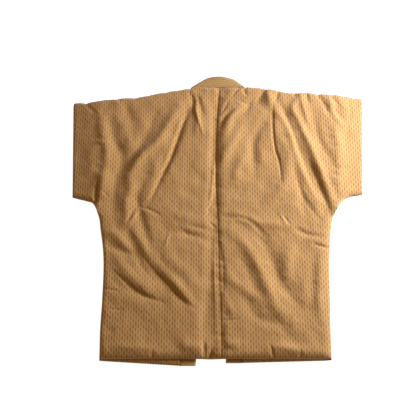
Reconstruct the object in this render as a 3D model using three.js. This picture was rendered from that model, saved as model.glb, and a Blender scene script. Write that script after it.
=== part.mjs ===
// A short-sleeved padded hanten, lying face down on a flat surface with its back up.
// Millimetres. +Z is up, +Y runs from the hem to the collar, +X is to the right as seen from above.
import * as THREE from 'three';

// Driving dimensions
const padding = 11;             // thickness of one padded wall of cloth
const layerGap = 0.8;           // air between the front and the back where they lie on each other
const seamGap = 0.3;            // clear width of a seam between two pieces
const seamDip = 4;              // how far a seam pulls the outer face down
const seamPull = 12;            // how far from the seam that pull reaches
const edgeRoll = 18;            // how far in from the sides the cloth rounds
const hemRoll = 26;             // how far in from the hem and the cuffs it rounds
const rimShare = 0.18;          // share of the wall left at the very edge of a piece
const shoulderRoll = 12;        // depth of the rounded fold along the shoulders
const innerRoll = 1.2;          // the same fold on the inside
const backLength = 774;         // neck seam to back hem along the centre seam
const hemLine = -398;           // where the back hem lies
const neckLine = hemLine + backLength;
const bandWidth = 41;           // finished width of the collar band
const bandPadding = 9;          // thickness of the collar band
const cellSize = 24;            // spacing of the points over the back
const frontCell = 60;           // spacing of the points over the fronts, which lie flat underneath
const foldSteps = 5;            // faces round the shoulder fold
const cuffHeight = 0.65;        // height of the sleeve at the cuff, as a share of it at the armhole
const sideBlend = { below: 25, length: 40 };  // where the side seam ends and the armhole seam starts

// Outline of each half. reach is a distance from the middle of the garment.
const halves = {
  left: {
    sign: -1,
    neckReach: 80,
    frontEdge: [
      { y: -414, reach: 100 }, { y: 100, reach: 78 }, { y: 290, reach: 71 }, { y: 376, reach: 80 },
    ],
    frontHem: { side: -402, band: -414 },
    underarm: -2,
    armhole: { bottom: 330, top: 331 },
    cuff: { bottom: 398, top: 418 },
    shoulder: [
      { reach: 80, y: 377 }, { reach: 144, y: 366 }, { reach: 213, y: 351 },
      { reach: 299, y: 341 }, { reach: 367, y: 333 }, { reach: 418, y: 331 },
    ],
    side: [
      { y: -398, reach: 302 }, { y: -325, reach: 304 }, { y: -247, reach: 303 },
      { y: -112, reach: 308 },
      { y: -53, reach: 318 }, { y: -19, reach: 324 }, { y: -2, reach: 330 },
    ],
    sleeveBottom: [
      { along: 0, y: -2 }, { along: 0.13, y: 16 }, { along: 0.42, y: 27 },
      { along: 0.71, y: 33 }, { along: 1, y: 39 },
    ],
    bandTip: [
      { y: 375, seam: 79, free: 38.5 }, { y: 386, seam: 59, free: 33 }, { y: 394, seam: 43, free: 28 },
    ],
    neckEnd: { seam: 79, free: 25, freeY: 411 },
  },
  right: {
    sign: 1,
    neckReach: 83,
    frontEdge: [
      { y: -414, reach: 58 }, { y: 100, reach: 57 }, { y: 290, reach: 60 }, { y: 376, reach: 83 },
    ],
    frontHem: { side: -401, band: -407 },
    underarm: 4,
    armhole: { bottom: 324, top: 329 },
    cuff: { bottom: 393, top: 418 },
    shoulder: [
      { reach: 83, y: 377 }, { reach: 134, y: 374 }, { reach: 203, y: 364 },
      { reach: 290, y: 354 }, { reach: 359, y: 347 }, { reach: 418, y: 342 },
    ],
    side: [
      { y: -398, reach: 284 }, { y: -325, reach: 286 }, { y: -247, reach: 289 },
      { y: -112, reach: 297 },
      { y: -53, reach: 304 }, { y: -19, reach: 312 }, { y: 4, reach: 324 },
    ],
    sleeveBottom: [
      { along: 0, y: 4 }, { along: 0.2, y: 25 }, { along: 0.45, y: 39 },
      { along: 0.72, y: 44 }, { along: 1, y: 47 },
    ],
    bandTip: [
      { y: 375, seam: 81, free: 41 }, { y: 386, seam: 62, free: 35 }, { y: 394, seam: 46, free: 30 },
    ],
    neckEnd: { seam: 82, free: 33, freeY: 407 },
  },
};

// The centre back seam wanders a little as the garment lies.
const centreSeam = [
  { y: -398, x: 4 }, { y: -300, x: 4 }, { y: -186, x: 1 }, { y: -48, x: -2 },
  { y: 56, x: -6 }, { y: 145, x: -7 }, { y: 270, x: -3 }, { y: 376, x: 4 },
];

// The collar band lies flat along both fronts, folds over beside the neck and stands out past the
// neck seam there. The front stretches end in the bandTip rows, under the neck stretch.
const neckCorner = 14;          // how far from its end the neck seam starts to turn
const bandRise = 4;             // how far the free edge of the neck stretch arches up
// How the two long edges of the band round, and where the points across it lie beside them.
const bandEdge = { roll: 5, rim: 0.3, seamOffset: 1.5, columns: [1.5, 5] };
const neckSteps = 8;            // rows along the neck stretch

// The largest folds of the back. Columns: the fold, its height (up for a ridge, down for a
// trough), half of its breadth, and then the places that it runs through, as [x, y].
const folds = [
  ['left armhole ridge', 7, 17, [-334, 290], [-322, 225], [-311, 165], [-317, 85], [-325, 15]],
  ['left arm trough', -8, 16, [-310, 270], [-290, 210], [-267, 145], [-280, 85], [-285, 20], [-278, -45]],
  ['left shoulder ridge', 3, 15, [-290, 325], [-285, 275], [-262, 235], [-238, 180]],
  ['left shoulder trough', -3, 14, [-267, 330], [-255, 290], [-236, 250]],
  ['trough above the long ridge', -4, 15, [-178, 290], [-203, 220], [-235, 160], [-262, 130]],
  ['long left ridge', 9, 17, [-112, 315], [-138, 262], [-172, 198], [-215, 155], [-245, 95], [-236, 60]],
  ['long left ridge, lower end', 5, 15, [-237, 75], [-250, 25], [-248, -20], [-254, -65]],
  ['ridge beside it', 3, 15, [-174, 145], [-175, 105], [-188, 35]],
  ['long left trough', -6, 13, [-78, 330], [-93, 280], [-112, 218], [-137, 145], [-168, 75], [-192, 10]],
  ['neck ridge, left', 3, 10, [-63, 320], [-58, 270], [-62, 228]],
  ['trough along the centre seam', -6, 10, [-3, 290], [-7, 205], [-12, 130], [-13, 40], [-12, -15]],
  ['waist ridge, left', 3, 17, [-150, 5], [-104, -17], [-50, -36], [-14, -30]],
  ['waist trough, left', -5, 14, [-200, 100], [-221, 40], [-210, -22], [-195, -65], [-180, -110]],
  ['neck ridge, right', 4, 13, [57, 318], [35, 276], [16, 240]],
  ['broad ridge by the centre', 7, 18, [66, 262], [42, 207], [22, 168], [8, 132]],
  ['pit below the neck, right', -6, 13, [99, 336], [76, 292]],
  ['right shoulder ridge', 5, 13, [147, 362], [144, 312]],
  ['right upper trough', -6, 16, [133, 272], [104, 215], [98, 180], [102, 95]],
  ['ridge below the broad one', 5, 16, [77, 165], [55, 125], [45, 80]],
  ['right middle ridge', 4, 18, [168, 290], [178, 215], [198, 150], [180, 65], [140, 25], [112, 2]],
  ['long right trough', -7.5, 13, [196, 300], [222, 228], [235, 160], [255, 90], [278, 28], [294, -22]],
  ['long right ridge', 9, 14, [238, 346], [222, 308], [240, 262], [266, 185], [292, 95], [314, 12]],
  ['right shoulder trough', -4, 13, [268, 326], [278, 245], [290, 190], [316, 142]],
  ['right arm ridge', 4, 19, [308, 326], [326, 255], [340, 182], [331, 80]],
  ['right sleeve trough', -3, 13, [331, 320], [346, 290], [368, 250]],
  ['right waist dimple', -3, 18, [115, 62], [145, 88]],
  ['right side trough', -3, 13, [224, 58], [230, 12], [243, -20]],
  ['waist ridge, right', 4, 15, [20, -6], [75, -30], [140, -43], [222, -49]],
  ['left side ridge', 6, 15, [-297, -65], [-272, -76], [-240, -112]],
  ['left side trough', -4, 13, [-302, -93], [-262, -114], [-226, -130]],
  ['long lower left trough', -7, 16, [-245, -62], [-222, -112], [-192, -170], [-142, -212], [-93, -258]],
  ['lower left ridge', 4, 14, [-238, -45], [-205, -95], [-180, -133]],
  ['lower left ridge, inner end', 7, 15, [-172, -142], [-120, -195], [-85, -240], [-65, -270]],
  ['outer lower left ridge', 6, 16, [-275, -130], [-250, -162], [-210, -204], [-162, -243]],
  ['outer lower left trough', -4, 15, [-292, -165], [-270, -198], [-215, -231], [-138, -257]],
  ['broad ridge by the waist', 4, 21, [-157, -65], [-130, -138], [-80, -183], [-50, -240]],
  ['waist crease, left', -3, 11, [-137, -64], [-80, -71], [-25, -87]],
  ['trough by the centre, low', -5, 17, [-35, -240], [-36, -300], [-42, -342]],
  ['ridge by the centre, low', 2.5, 9, [-12, -165], [-10, -265]],
  ['hem swell, left', 4, 15, [-282, -375], [-235, -370], [-170, -376]],
  ['hem swell by the centre', 6, 19, [-100, -352], [-72, -370], [-34, -366]],
  ['long low right ridge', 8, 18, [34, -65], [76, -108], [108, -168], [132, -232], [150, -272], [190, -298]],
  ['low right trough', -8, 16, [56, -36], [112, -82], [142, -145], [162, -208], [200, -255], [220, -272]],
  ['trough inside it', -4, 14, [50, -128], [70, -157], [96, -220]],
  ['ridge inside it', 4, 16, [26, -165], [36, -200], [68, -223], [126, -262]],
  ['lowest right trough', -7, 16, [53, -220], [88, -282], [117, -302], [157, -315], [174, -342]],
  ['right side swell', 5, 21, [184, -112], [179, -156], [187, -200]],
  ['right side hollow', -4, 18, [256, -123], [247, -196], [245, -270]],
  ['right edge ridge', 7, 15, [274, -140], [269, -196], [263, -255]],
  ['ridge beside the long right trough', 6, 15, [198, 223], [223, 154], [244, 94], [270, 38], [296, -4]],
  ['ridge by the centre, right', 4, 13, [22, -255], [37, -291]],
  ['hem swell, right', 4, 15, [12, -366], [55, -362]],
  ['hem swell, right side', 5, 15, [125, -371], [165, -372], [208, -382]],
];
const pathSteps = 14;           // straight stretches along a fold
const foldSharpness = 1.4;      // how steeply a fold falls off across its width
const foldEnd = 0.04;           // share of a fold's length that is cut off the fade at each end
const foldClear = 30;           // folds reach full height this far in from an edge

const clamp = THREE.MathUtils.clamp;
const lerp = THREE.MathUtils.lerp;
const smooth = (value) => THREE.MathUtils.smoothstep(value, 0, 1);

// Reads a table at one place by a smooth curve through its rows.
function read(table, from, to, at) {
  let row = 0;
  while (row < table.length - 2 && at > table[row + 1][from]) row += 1;
  const [before, start, end, after] = [row - 1, row, row + 1, row + 2].map(
    (index) => table[clamp(index, 0, table.length - 1)]);
  const span = end[from] - start[from];
  const share = clamp((at - start[from]) / span, 0, 1);
  const leave = (end[to] - before[to]) / (end[from] - before[from]) * span;
  const arrive = (after[to] - start[to]) / (after[from] - start[from]) * span;
  const square = share * share;
  const cube = square * share;
  return (2 * cube - 3 * square + 1) * start[to] + (cube - 2 * square + share) * leave
    + (3 * square - 2 * cube) * end[to] + (cube - square) * arrive;
}

// Each fold as short straight stretches along a smooth curve, with how far along it each one is.
const foldLines = folds.map(([, height, width, ...path]) => {
  const corners = path.map(([x, y]) => new THREE.Vector3(x, y, 0));
  const points = new THREE.CatmullRomCurve3(corners, false, 'centripetal').getPoints(pathSteps);
  return { height, width, points };
});

// Height that the folds add at one place: each is a soft ridge or trough that fades at its ends.
function relief(x, y) {
  let total = 0;
  for (const { points, width, height } of foldLines) {
    let nearest = Infinity;
    let along = 0;
    for (let step = 0; step < points.length - 1; step += 1) {
      const start = points[step];
      const end = points[step + 1];
      const [dx, dy] = [end.x - start.x, end.y - start.y];
      const share = clamp(((x - start.x) * dx + (y - start.y) * dy) / (dx * dx + dy * dy), 0, 1);
      const distance = Math.hypot(x - start.x - share * dx, y - start.y - share * dy);
      if (distance < nearest) {
        nearest = distance;
        along = (step + share) / (points.length - 1);
      }
    }
    const fade = Math.sqrt(Math.sin(Math.PI * clamp(along, foldEnd, 1 - foldEnd)));
    total += height * fade * Math.exp(-((nearest / width) ** 2) * foldSharpness);
  }
  return total;
}

// Rises from 0 at an edge to 1 at the given distance in from it, as a quarter of an ellipse.
function roll(distance, reach) {
  const share = 1 - clamp(distance / reach, 0, 1);
  return Math.sqrt(1 - share * share);
}

// Free edges of the collar band where it runs down the fronts, as x at each y.
const frontEdge = (half, y) => half.sign * read(half.frontEdge, 'y', 'reach', y);
const bandFree = (half, y) => frontEdge(half, y) - half.sign * bandWidth;

// Between the two bands nothing lies under the back, so it sinks there.
function sink(x, y) {
  const from = bandFree(halves.left, y);
  const to = bandFree(halves.right, y);
  const share = clamp((x - from) / (to - from), 0, 1);
  return Math.sin(Math.PI * share) ** 2;
}
const sinkInside = 9;
const sinkOutside = 4.5;

// Heights of the two faces of the back and of the fronts. Distances to the edges are given as
// closed (sewn to the other layer), open (a hem or cuff) and seam (sewn to a piece beside it).
function backFaces(x, y, { closed, open, seam }) {
  const inside = padding + layerGap - sinkInside * sink(x, y);
  const lying = smooth(Math.min(closed, open) / foldClear);
  const dip = seamDip * (1 - smooth(seam / seamPull));
  const full = 2 * padding + layerGap - sinkOutside * sink(x, y) + relief(x, y) * lying - dip;
  const left = Math.max(rimShare, roll(closed, edgeRoll) * roll(open, hemRoll));
  return { outer: inside + (full - inside) * left, inner: inside };
}
function frontFaces({ closed, open }) {
  const base = padding * (1 - Math.max(rimShare, roll(closed, edgeRoll)));
  const middle = (padding + base) / 2;
  const left = Math.max(rimShare, roll(open, edgeRoll / 2));
  return { outer: lerp(middle, base, left), inner: lerp(middle, padding, left) };
}

// A closed wall of cloth from a grid of points on its two faces. A cell is left out where
// present says so, and a rim joins the two faces all round.
function wall(outer, inner, present = () => true) {
  const rows = outer.length;
  const columns = outer[0].length;
  const positions = [...outer.flat(), ...inner.flat()].flat();
  const index = [];
  const at = (row, column) => row * columns + column;
  const under = rows * columns;
  const has = (row, column) => row >= 0 && column >= 0 && row < rows - 1 && column < columns - 1
    && present(row, column);
  const rim = (a, b) => index.push(a, a + under, b, b, a + under, b + under);
  for (let row = 0; row < rows - 1; row += 1) {
    for (let column = 0; column < columns - 1; column += 1) {
      if (!has(row, column)) continue;
      const [a, b] = [at(row, column), at(row, column + 1)];
      const [d, c] = [at(row + 1, column), at(row + 1, column + 1)];
      index.push(a, b, c, a, c, d);
      index.push(a + under, c + under, b + under, a + under, d + under, c + under);
      if (!has(row - 1, column)) rim(a, b);
      if (!has(row, column + 1)) rim(b, c);
      if (!has(row + 1, column)) rim(c, d);
      if (!has(row, column - 1)) rim(d, a);
    }
  }
  return solid(positions, index);
}

// Keeps only the points that faces use, and turns the faces outward.
function solid(positions, index) {
  const used = new Map();
  const kept = [];
  const faces = index.map((old) => {
    if (!used.has(old)) {
      used.set(old, used.size);
      kept.push(...positions.slice(3 * old, 3 * old + 3));
    }
    return used.get(old);
  });
  const corner = (face) => new THREE.Vector3().fromArray(kept, 3 * faces[face]);
  let volume = 0;
  for (let face = 0; face < faces.length; face += 3) {
    volume += corner(face).dot(corner(face + 1).cross(corner(face + 2)));
  }
  if (volume < 0) faces.reverse();
  const geometry = new THREE.BufferGeometry();
  geometry.setAttribute('position', new THREE.Float32BufferAttribute(kept, 3));
  geometry.setIndex(faces);
  geometry.computeVertexNormals();
  return geometry;
}

// Places from 0 to length: close together where an edge rounds, and even between.
function spaced(length, size, first, last) {
  const ends = [0, ...first];
  const starts = last.map((offset) => length - offset).reverse();
  const [from, to] = [ends.at(-1), starts.length ? starts[0] : length];
  const count = Math.max(1, Math.round((to - from) / size));
  const middle = Array.from({ length: count - 1 }, (_, step) => lerp(from, to, (step + 1) / count));
  return [...ends, ...middle, ...starts, length];
}
const rolled = [1.5, 5, 12, hemRoll];
const seamed = [4, seamPull];
const neckColumnWidth = 7;      // the first column beside the neck

const frontRows = spaced(backLength, frontCell, rolled, [frontCell / 3]).reverse();

// Where the cloth starts to round over the shoulder.
const shoulderY = (half, reach) => read(half.shoulder, 'reach', 'y', reach) - shoulderRoll;

const shoulderAngle = (step) => Math.PI * (0.5 - step / foldSteps);

// The round of a shoulder fold at one x, from the face of the back over to that of the front.
function shoulderPoint(x, y, top, step, lowered = 1) {
  const angle = shoulderAngle(step);
  const [out, up] = [Math.cos(angle), Math.sin(angle)];
  const pivot = padding + layerGap / 2;
  return {
    outer: [x, y + shoulderRoll * out, top / 2 * (1 + up)],
    inner: [x, y + innerRoll * out, lowered * (pivot + layerGap / 2 * up)],
  };
}

// One length of cloth for each half of the body: up the back from the hem, over the shoulder
// and down the front. Beside the neck it ends in the neck seam.
function bodyPanel(half) {
  const { sign, neckReach } = half;
  const clear = seamGap / 2;
  const widest = half.armhole.bottom;
  const inward = spaced(neckReach, cellSize, seamed, [neckCorner]);
  const outward = spaced(widest - neckReach, cellSize, [neckColumnWidth], rolled);
  const neckColumn = inward.length - 1;
  const columns = [...inward, ...outward.slice(1).map((offset) => neckReach + offset)];
  const backRows = spaced(backLength, cellSize, rolled, seamed);
  const sideReach = (y) => (y > half.underarm
    ? lerp(half.armhole.bottom, half.armhole.top, (y - half.underarm) / (neckLine - half.underarm))
    : read(half.side, 'y', 'reach', y)) - clear;
  const seamedSide = (y) => smooth((y - half.underarm + sideBlend.below) / sideBlend.length);
  const edges = (y, side, open, seam) => ({
    closed: side + seamedSide(y) * edgeRoll,
    open,
    seam: Math.min(seam, side + (1 - seamedSide(y)) * seamPull),
  });

  const outer = [];
  const inner = [];
  const push = (points) => {
    outer.push(points.map((point) => point.outer));
    inner.push(points.map((point) => point.inner));
  };
  const backPoint = (column, rise) => {
    const reach = columns[column];
    const rowTop = column < neckColumn ? neckLine - seamGap / 2 : shoulderY(half, reach);
    const y = lerp(hemLine, rowTop, rise / backLength);
    const centre = read(centreSeam, 'y', 'x', y) + sign * clear;
    const neck = sign * neckReach;
    const share = (reach - neckReach) / (widest - neckReach);
    const x = reach < neckReach
      ? lerp(centre, neck, reach / neckReach)
      : lerp(neck, sign * sideReach(y), share);
    const side = sideReach(y) - Math.abs(x);
    const neckSeam = column <= neckColumn ? rowTop - y : Infinity;
    const seam = Math.min(Math.abs(x - centre), neckSeam);
    const faces = backFaces(x, y, edges(y, side, y - hemLine, seam));
    return { outer: [x, y, faces.outer], inner: [x, y, faces.inner] };
  };
  const frontPoint = (column, rise) => {
    const reach = columns[column];
    const share = (reach - neckReach) / (widest - neckReach);
    const bottom = lerp(half.frontHem.band, half.frontHem.side, share);
    const y = lerp(bottom, shoulderY(half, reach), rise / backLength);
    const edge = frontEdge(half, y) + sign * clear;
    const x = lerp(edge, sign * sideReach(y), share);
    const faces = frontFaces(edges(y, sideReach(y) - Math.abs(x), y - bottom, Infinity));
    return { outer: [x, y, faces.outer], inner: [x, y, faces.inner] };
  };

  const every = columns.map((_, column) => column);
  backRows.forEach((rise) => push(every.map((column) => backPoint(column, rise))));
  const top = backRows.length - 1;
  const neckEdge = every.map((column) => backPoint(column, backLength));
  for (let step = 1; step < foldSteps; step += 1) {
    push(neckEdge.map(({ outer: [x, y, z] }) => shoulderPoint(x, y, z, step)));
  }
  frontRows.forEach((rise) => push(every.map((column) => frontPoint(Math.max(column, neckColumn), rise))));
  return wall(outer, inner, (row, column) => row < top || column >= neckColumn);
}

// A sleeve is one piece folded along the top, sewn below, open at the cuff and at the armhole.
function sleevePanel(half) {
  const { sign } = half;
  const start = half.armhole.bottom;
  const width = half.cuff.bottom - start;
  const columns = spaced(width, cellSize, seamed, rolled).map((place) => place / width);
  const depth = read(half.shoulder, 'reach', 'y', start) - half.underarm;
  const backRows = spaced(depth, cellSize, rolled, []);
  const lowerRows = spaced(depth, frontCell, rolled, []).reverse();
  const climb = (y) => clamp((y - half.underarm) / (neckLine - half.underarm), 0, 1);
  const armX = (y) => lerp(half.armhole.bottom, half.armhole.top, climb(y)) + seamGap / 2;
  const cuffX = (y) => lerp(half.cuff.bottom, half.cuff.top, clamp((y - half.underarm) / depth, 0, 1));
  const place = (column, rise) => {
    const along = columns[column];
    const low = read(half.sleeveBottom, 'along', 'y', along);
    const high = shoulderY(half, lerp(start, half.cuff.top, along));
    const y = lerp(low, high, rise / depth);
    const reach = lerp(armX(y), cuffX(y), along);
    const edges = { closed: y - low, open: cuffX(y) - reach, seam: reach - armX(y) };
    return { x: sign * reach, y, edges, lowered: lerp(1, cuffHeight, smooth(along)) };
  };
  const outer = [];
  const inner = [];
  const push = (points) => {
    outer.push(points.map((point) => point.outer));
    inner.push(points.map((point) => point.inner));
  };
  const backPoint = (column, rise) => {
    const { x, y, edges, lowered } = place(column, rise);
    const faces = backFaces(x, y, edges);
    return { outer: [x, y, faces.outer * lowered], inner: [x, y, faces.inner * lowered] };
  };
  const frontPoint = (column, rise) => {
    const { x, y, edges, lowered } = place(column, rise);
    const faces = frontFaces(edges);
    return { outer: [x, y, faces.outer * lowered], inner: [x, y, faces.inner * lowered] };
  };
  const every = columns.map((_, column) => column);
  backRows.forEach((rise) => push(every.map((column) => backPoint(column, rise))));
  const top = every.map((column) => ({ ...place(column, depth), point: backPoint(column, depth) }));
  for (let step = 1; step < foldSteps; step += 1) {
    push(top.map(({ x, y, lowered, point }) => shoulderPoint(x, y, point.outer[2], step, lowered)));
  }
  lowerRows.forEach((rise) => push(every.map((column) => frontPoint(column, rise))));
  return wall(outer, inner);
}

// A stretch of the collar band from its rows, each from the seam to the free edge, between the
// heights of its two faces.
function bandStretch(rows, { low, high }) {
  const across = spaced(bandWidth, cellSize, bandEdge.columns, bandEdge.columns);
  const middle = (low + high) / 2;
  const face = (side) => rows.map(({ seam, free }) => across.map((fromSeam) => {
    const seamRound = roll(fromSeam + bandEdge.seamOffset, bandEdge.roll);
    const freeRound = roll(bandWidth - fromSeam, bandEdge.roll);
    const thick = Math.max(bandEdge.rim, Math.min(seamRound, freeRound)) * (high - low) / 2;
    const share = fromSeam / bandWidth;
    return [lerp(seam[0], free[0], share), lerp(seam[1], free[1], share), middle + side * thick];
  }));
  return wall(face(1), face(-1));
}

// The band flat along one front, from the hem up to its fold beside the neck.
function frontBand(half) {
  const top = shoulderY(half, half.neckReach);
  const along = [...frontRows].reverse().map((rise) => {
    const y = lerp(half.frontHem.band, top, rise / backLength);
    return { seam: [frontEdge(half, y) - half.sign * seamGap / 2, y], free: [bandFree(half, y), y] };
  });
  const tip = half.bandTip.map(({ y, seam, free }) => (
    { seam: [half.sign * seam, y], free: [half.sign * free, y] }));
  return bandStretch([...along, ...tip], { low: 0, high: bandPadding });
}

// The band round the back of the neck, folded over so that it lies on the front stretches.
function neckBand() {
  const { left: { neckEnd: left }, right: { neckEnd: right } } = halves;
  const rows = Array.from({ length: neckSteps + 1 }, (_, step) => {
    const share = step / neckSteps;
    const rise = bandRise * Math.sin(Math.PI * share);
    return {
      seam: [lerp(-left.seam, right.seam, share), neckLine + seamGap],
      free: [lerp(-left.free, right.free, share), lerp(left.freeY, right.freeY, share) + rise],
    };
  });
  return bandStretch(rows, { low: bandPadding + seamGap, high: padding + layerGap + bandPadding });
}

const ochre = 0xb98f5c;
const cloth = () => new THREE.MeshStandardMaterial({ color: ochre, roughness: 0.95, metalness: 0 });

const hanten = new THREE.Group();
function add(name, geometry) {
  const mesh = new THREE.Mesh(geometry, cloth());
  mesh.name = name;
  hanten.add(mesh);
}
add('body_left', bodyPanel(halves.left));
add('body_right', bodyPanel(halves.right));
add('sleeve_left', sleevePanel(halves.left));
add('sleeve_right', sleevePanel(halves.right));
add('collar_front_left', frontBand(halves.left));
add('collar_front_right', frontBand(halves.right));
add('collar_neck', neckBand());

export default hanten;
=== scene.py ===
"""A short-sleeved padded hanten, laid flat with its back up, in ochre dobby cotton."""

import math
from collections import namedtuple

import bpy
import numpy as np
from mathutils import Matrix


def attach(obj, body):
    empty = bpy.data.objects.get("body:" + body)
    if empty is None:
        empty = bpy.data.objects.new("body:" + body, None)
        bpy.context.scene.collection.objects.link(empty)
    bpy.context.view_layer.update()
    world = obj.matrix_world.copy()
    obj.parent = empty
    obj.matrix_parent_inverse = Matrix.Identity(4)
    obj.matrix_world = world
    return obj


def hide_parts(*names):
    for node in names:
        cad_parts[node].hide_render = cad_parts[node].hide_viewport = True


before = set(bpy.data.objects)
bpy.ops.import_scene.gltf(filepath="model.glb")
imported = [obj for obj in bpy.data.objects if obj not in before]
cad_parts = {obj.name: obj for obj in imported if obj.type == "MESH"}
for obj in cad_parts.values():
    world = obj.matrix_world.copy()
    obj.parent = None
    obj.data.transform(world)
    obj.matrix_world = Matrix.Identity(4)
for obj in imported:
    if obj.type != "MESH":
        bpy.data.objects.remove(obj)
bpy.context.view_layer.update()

MM = 0.001

# Sizes of the cloth, in millimetres
PADDING = 11.0  # one padded layer
LAYER_GAP = 0.8  # between the back and the front, inside the garment
SEAM_GAP = 0.1  # between two pieces that are sewn together
SEAM_PULL = 6.0  # how far from the centre and neck seams the cloth dips
NECK_DIP = 1.5  # how deep it dips at the neck seam
ARMHOLE_DIP = 0.15  # the same at the armholes
ARMHOLE_PULL = 5.0  # and how far from them
EDGE_ROLL = 18.0  # how far in from a sewn edge the cloth rounds off
HEM_ROLL = 19.0  # the same at the back hem
CUFF_ROLL = 8.0  # and at a cuff
RIM_SHARE = 0.12  # what is left of the thickness at an open edge
SHOULDER_ROLL = 12.0  # depth of the rounded fold along the shoulders
SHOULDER_TRAVEL = 3 * SHOULDER_ROLL  # cloth that goes round that fold
INNER_ROLL = 1.2  # the same fold on the inside
BACK_LENGTH = 774.0  # from the back hem to the neck seam
HEM_LINE = -398.0
NECK_LINE = HEM_LINE + BACK_LENGTH
UNDERARM_BELOW = 25.0  # the side seam starts to open into the armhole this far below the underarm
UNDERARM_FADE = 40.0  # and is open this far above its start
BAND_WIDTH = 41.0  # the collar band, as finished
BAND_PADDING = 9.0
BAND_ROLL = 5.0  # how far in from its long edges the band rounds off
BAND_SEAM_OFFSET = 1.0  # less of that along the seam
BAND_RIM_SHARE = 0.16
BAND_TURN_DEPTH = 60.0  # the band starts to turn over this far below the neck seam
SINK_INSIDE = 9.0  # how far the back's inner face sinks where no front lies under it
SINK_OUTSIDE = 4.5  # and its outer face
NECK_CORNER = 4.0  # last column of points before the end of the neck seam
CUFF_HEIGHT = 0.65  # a sleeve's height at the cuff, as a share of that at the armhole

# How close the points of the cloth lie
FINE = 2.8
HIDDEN = 14.0
FOLD_STEPS = 10

# Rows of points beside an edge that rounds off or a seam, as distances from it
ROLLED = [0.4, 1.3, 2.8, 5.0, 8.0, 12.0]
SEAMED = [0.8, 2.0, 4.0, 7.0]
FRONT_TOP = [7.0]
BAND_END = [0.4, 1.3, 2.8, 5.0, 8.0]
BAND_ROLLED = [0.5, 1.5, 3.0, 5.0]

# The left and right halves differ a little, and x is counted outward from the middle in both.
# seam_dip is how deep the cloth dips at the centre seam, side_roll how far in the side rounds off and
# neck_reach where the neck seam ends. front_edge and side give x at each y, shoulder gives y at each
# x, and sleeve_bottom gives y at each share of the way from armhole to cuff. armhole and cuff are x
# at the underarm and at the top, and front_hem is y at the side and at the front's edge.
Half = namedtuple(
    "Half", "sign seam_dip side_roll neck_reach front_edge front_hem underarm armhole cuff shoulder side "
    "sleeve_bottom")
LEFT = Half(
    sign=-1, seam_dip=0.6, side_roll=10.0, neck_reach=80.0,
    front_edge=[(-414, 100), (100, 78), (290, 71), (376, 80)],
    front_hem=(-402, -414), underarm=-2.0, armhole=(330, 331), cuff=(398, 418),
    shoulder=[(80, 377), (144, 366), (213, 351), (299, 341), (367, 333), (418, 331)],
    side=[(-398, 302), (-325, 304), (-247, 303), (-112, 308), (-53, 318), (-19, 324), (-2, 330)],
    sleeve_bottom=[(0, -2), (0.13, 16), (0.42, 27), (0.71, 33), (1, 39)])
RIGHT = Half(
    sign=1, seam_dip=2.3, side_roll=26.0, neck_reach=83.0,
    front_edge=[(-414, 58), (100, 57), (290, 60), (376, 83)],
    front_hem=(-401, -407), underarm=4.0, armhole=(324, 329), cuff=(395, 422),
    shoulder=[(83, 382), (134, 377), (203, 365), (262, 363), (290, 361), (359, 353), (422, 346)],
    side=[(-398, 284), (-325, 286), (-247, 289), (-112, 297), (-53, 304), (-19, 312), (4, 324)],
    sleeve_bottom=[(0, 4), (0.2, 25), (0.45, 39), (0.72, 44), (1, 47)])

# Where the centre seam runs: x at each y
CENTRE_SEAM = [
    (-398, 4), (-300, 4), (-186, 1), (-48, -2), (56, -6), (145, -7), (270, -3), (376, 4)]

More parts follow.
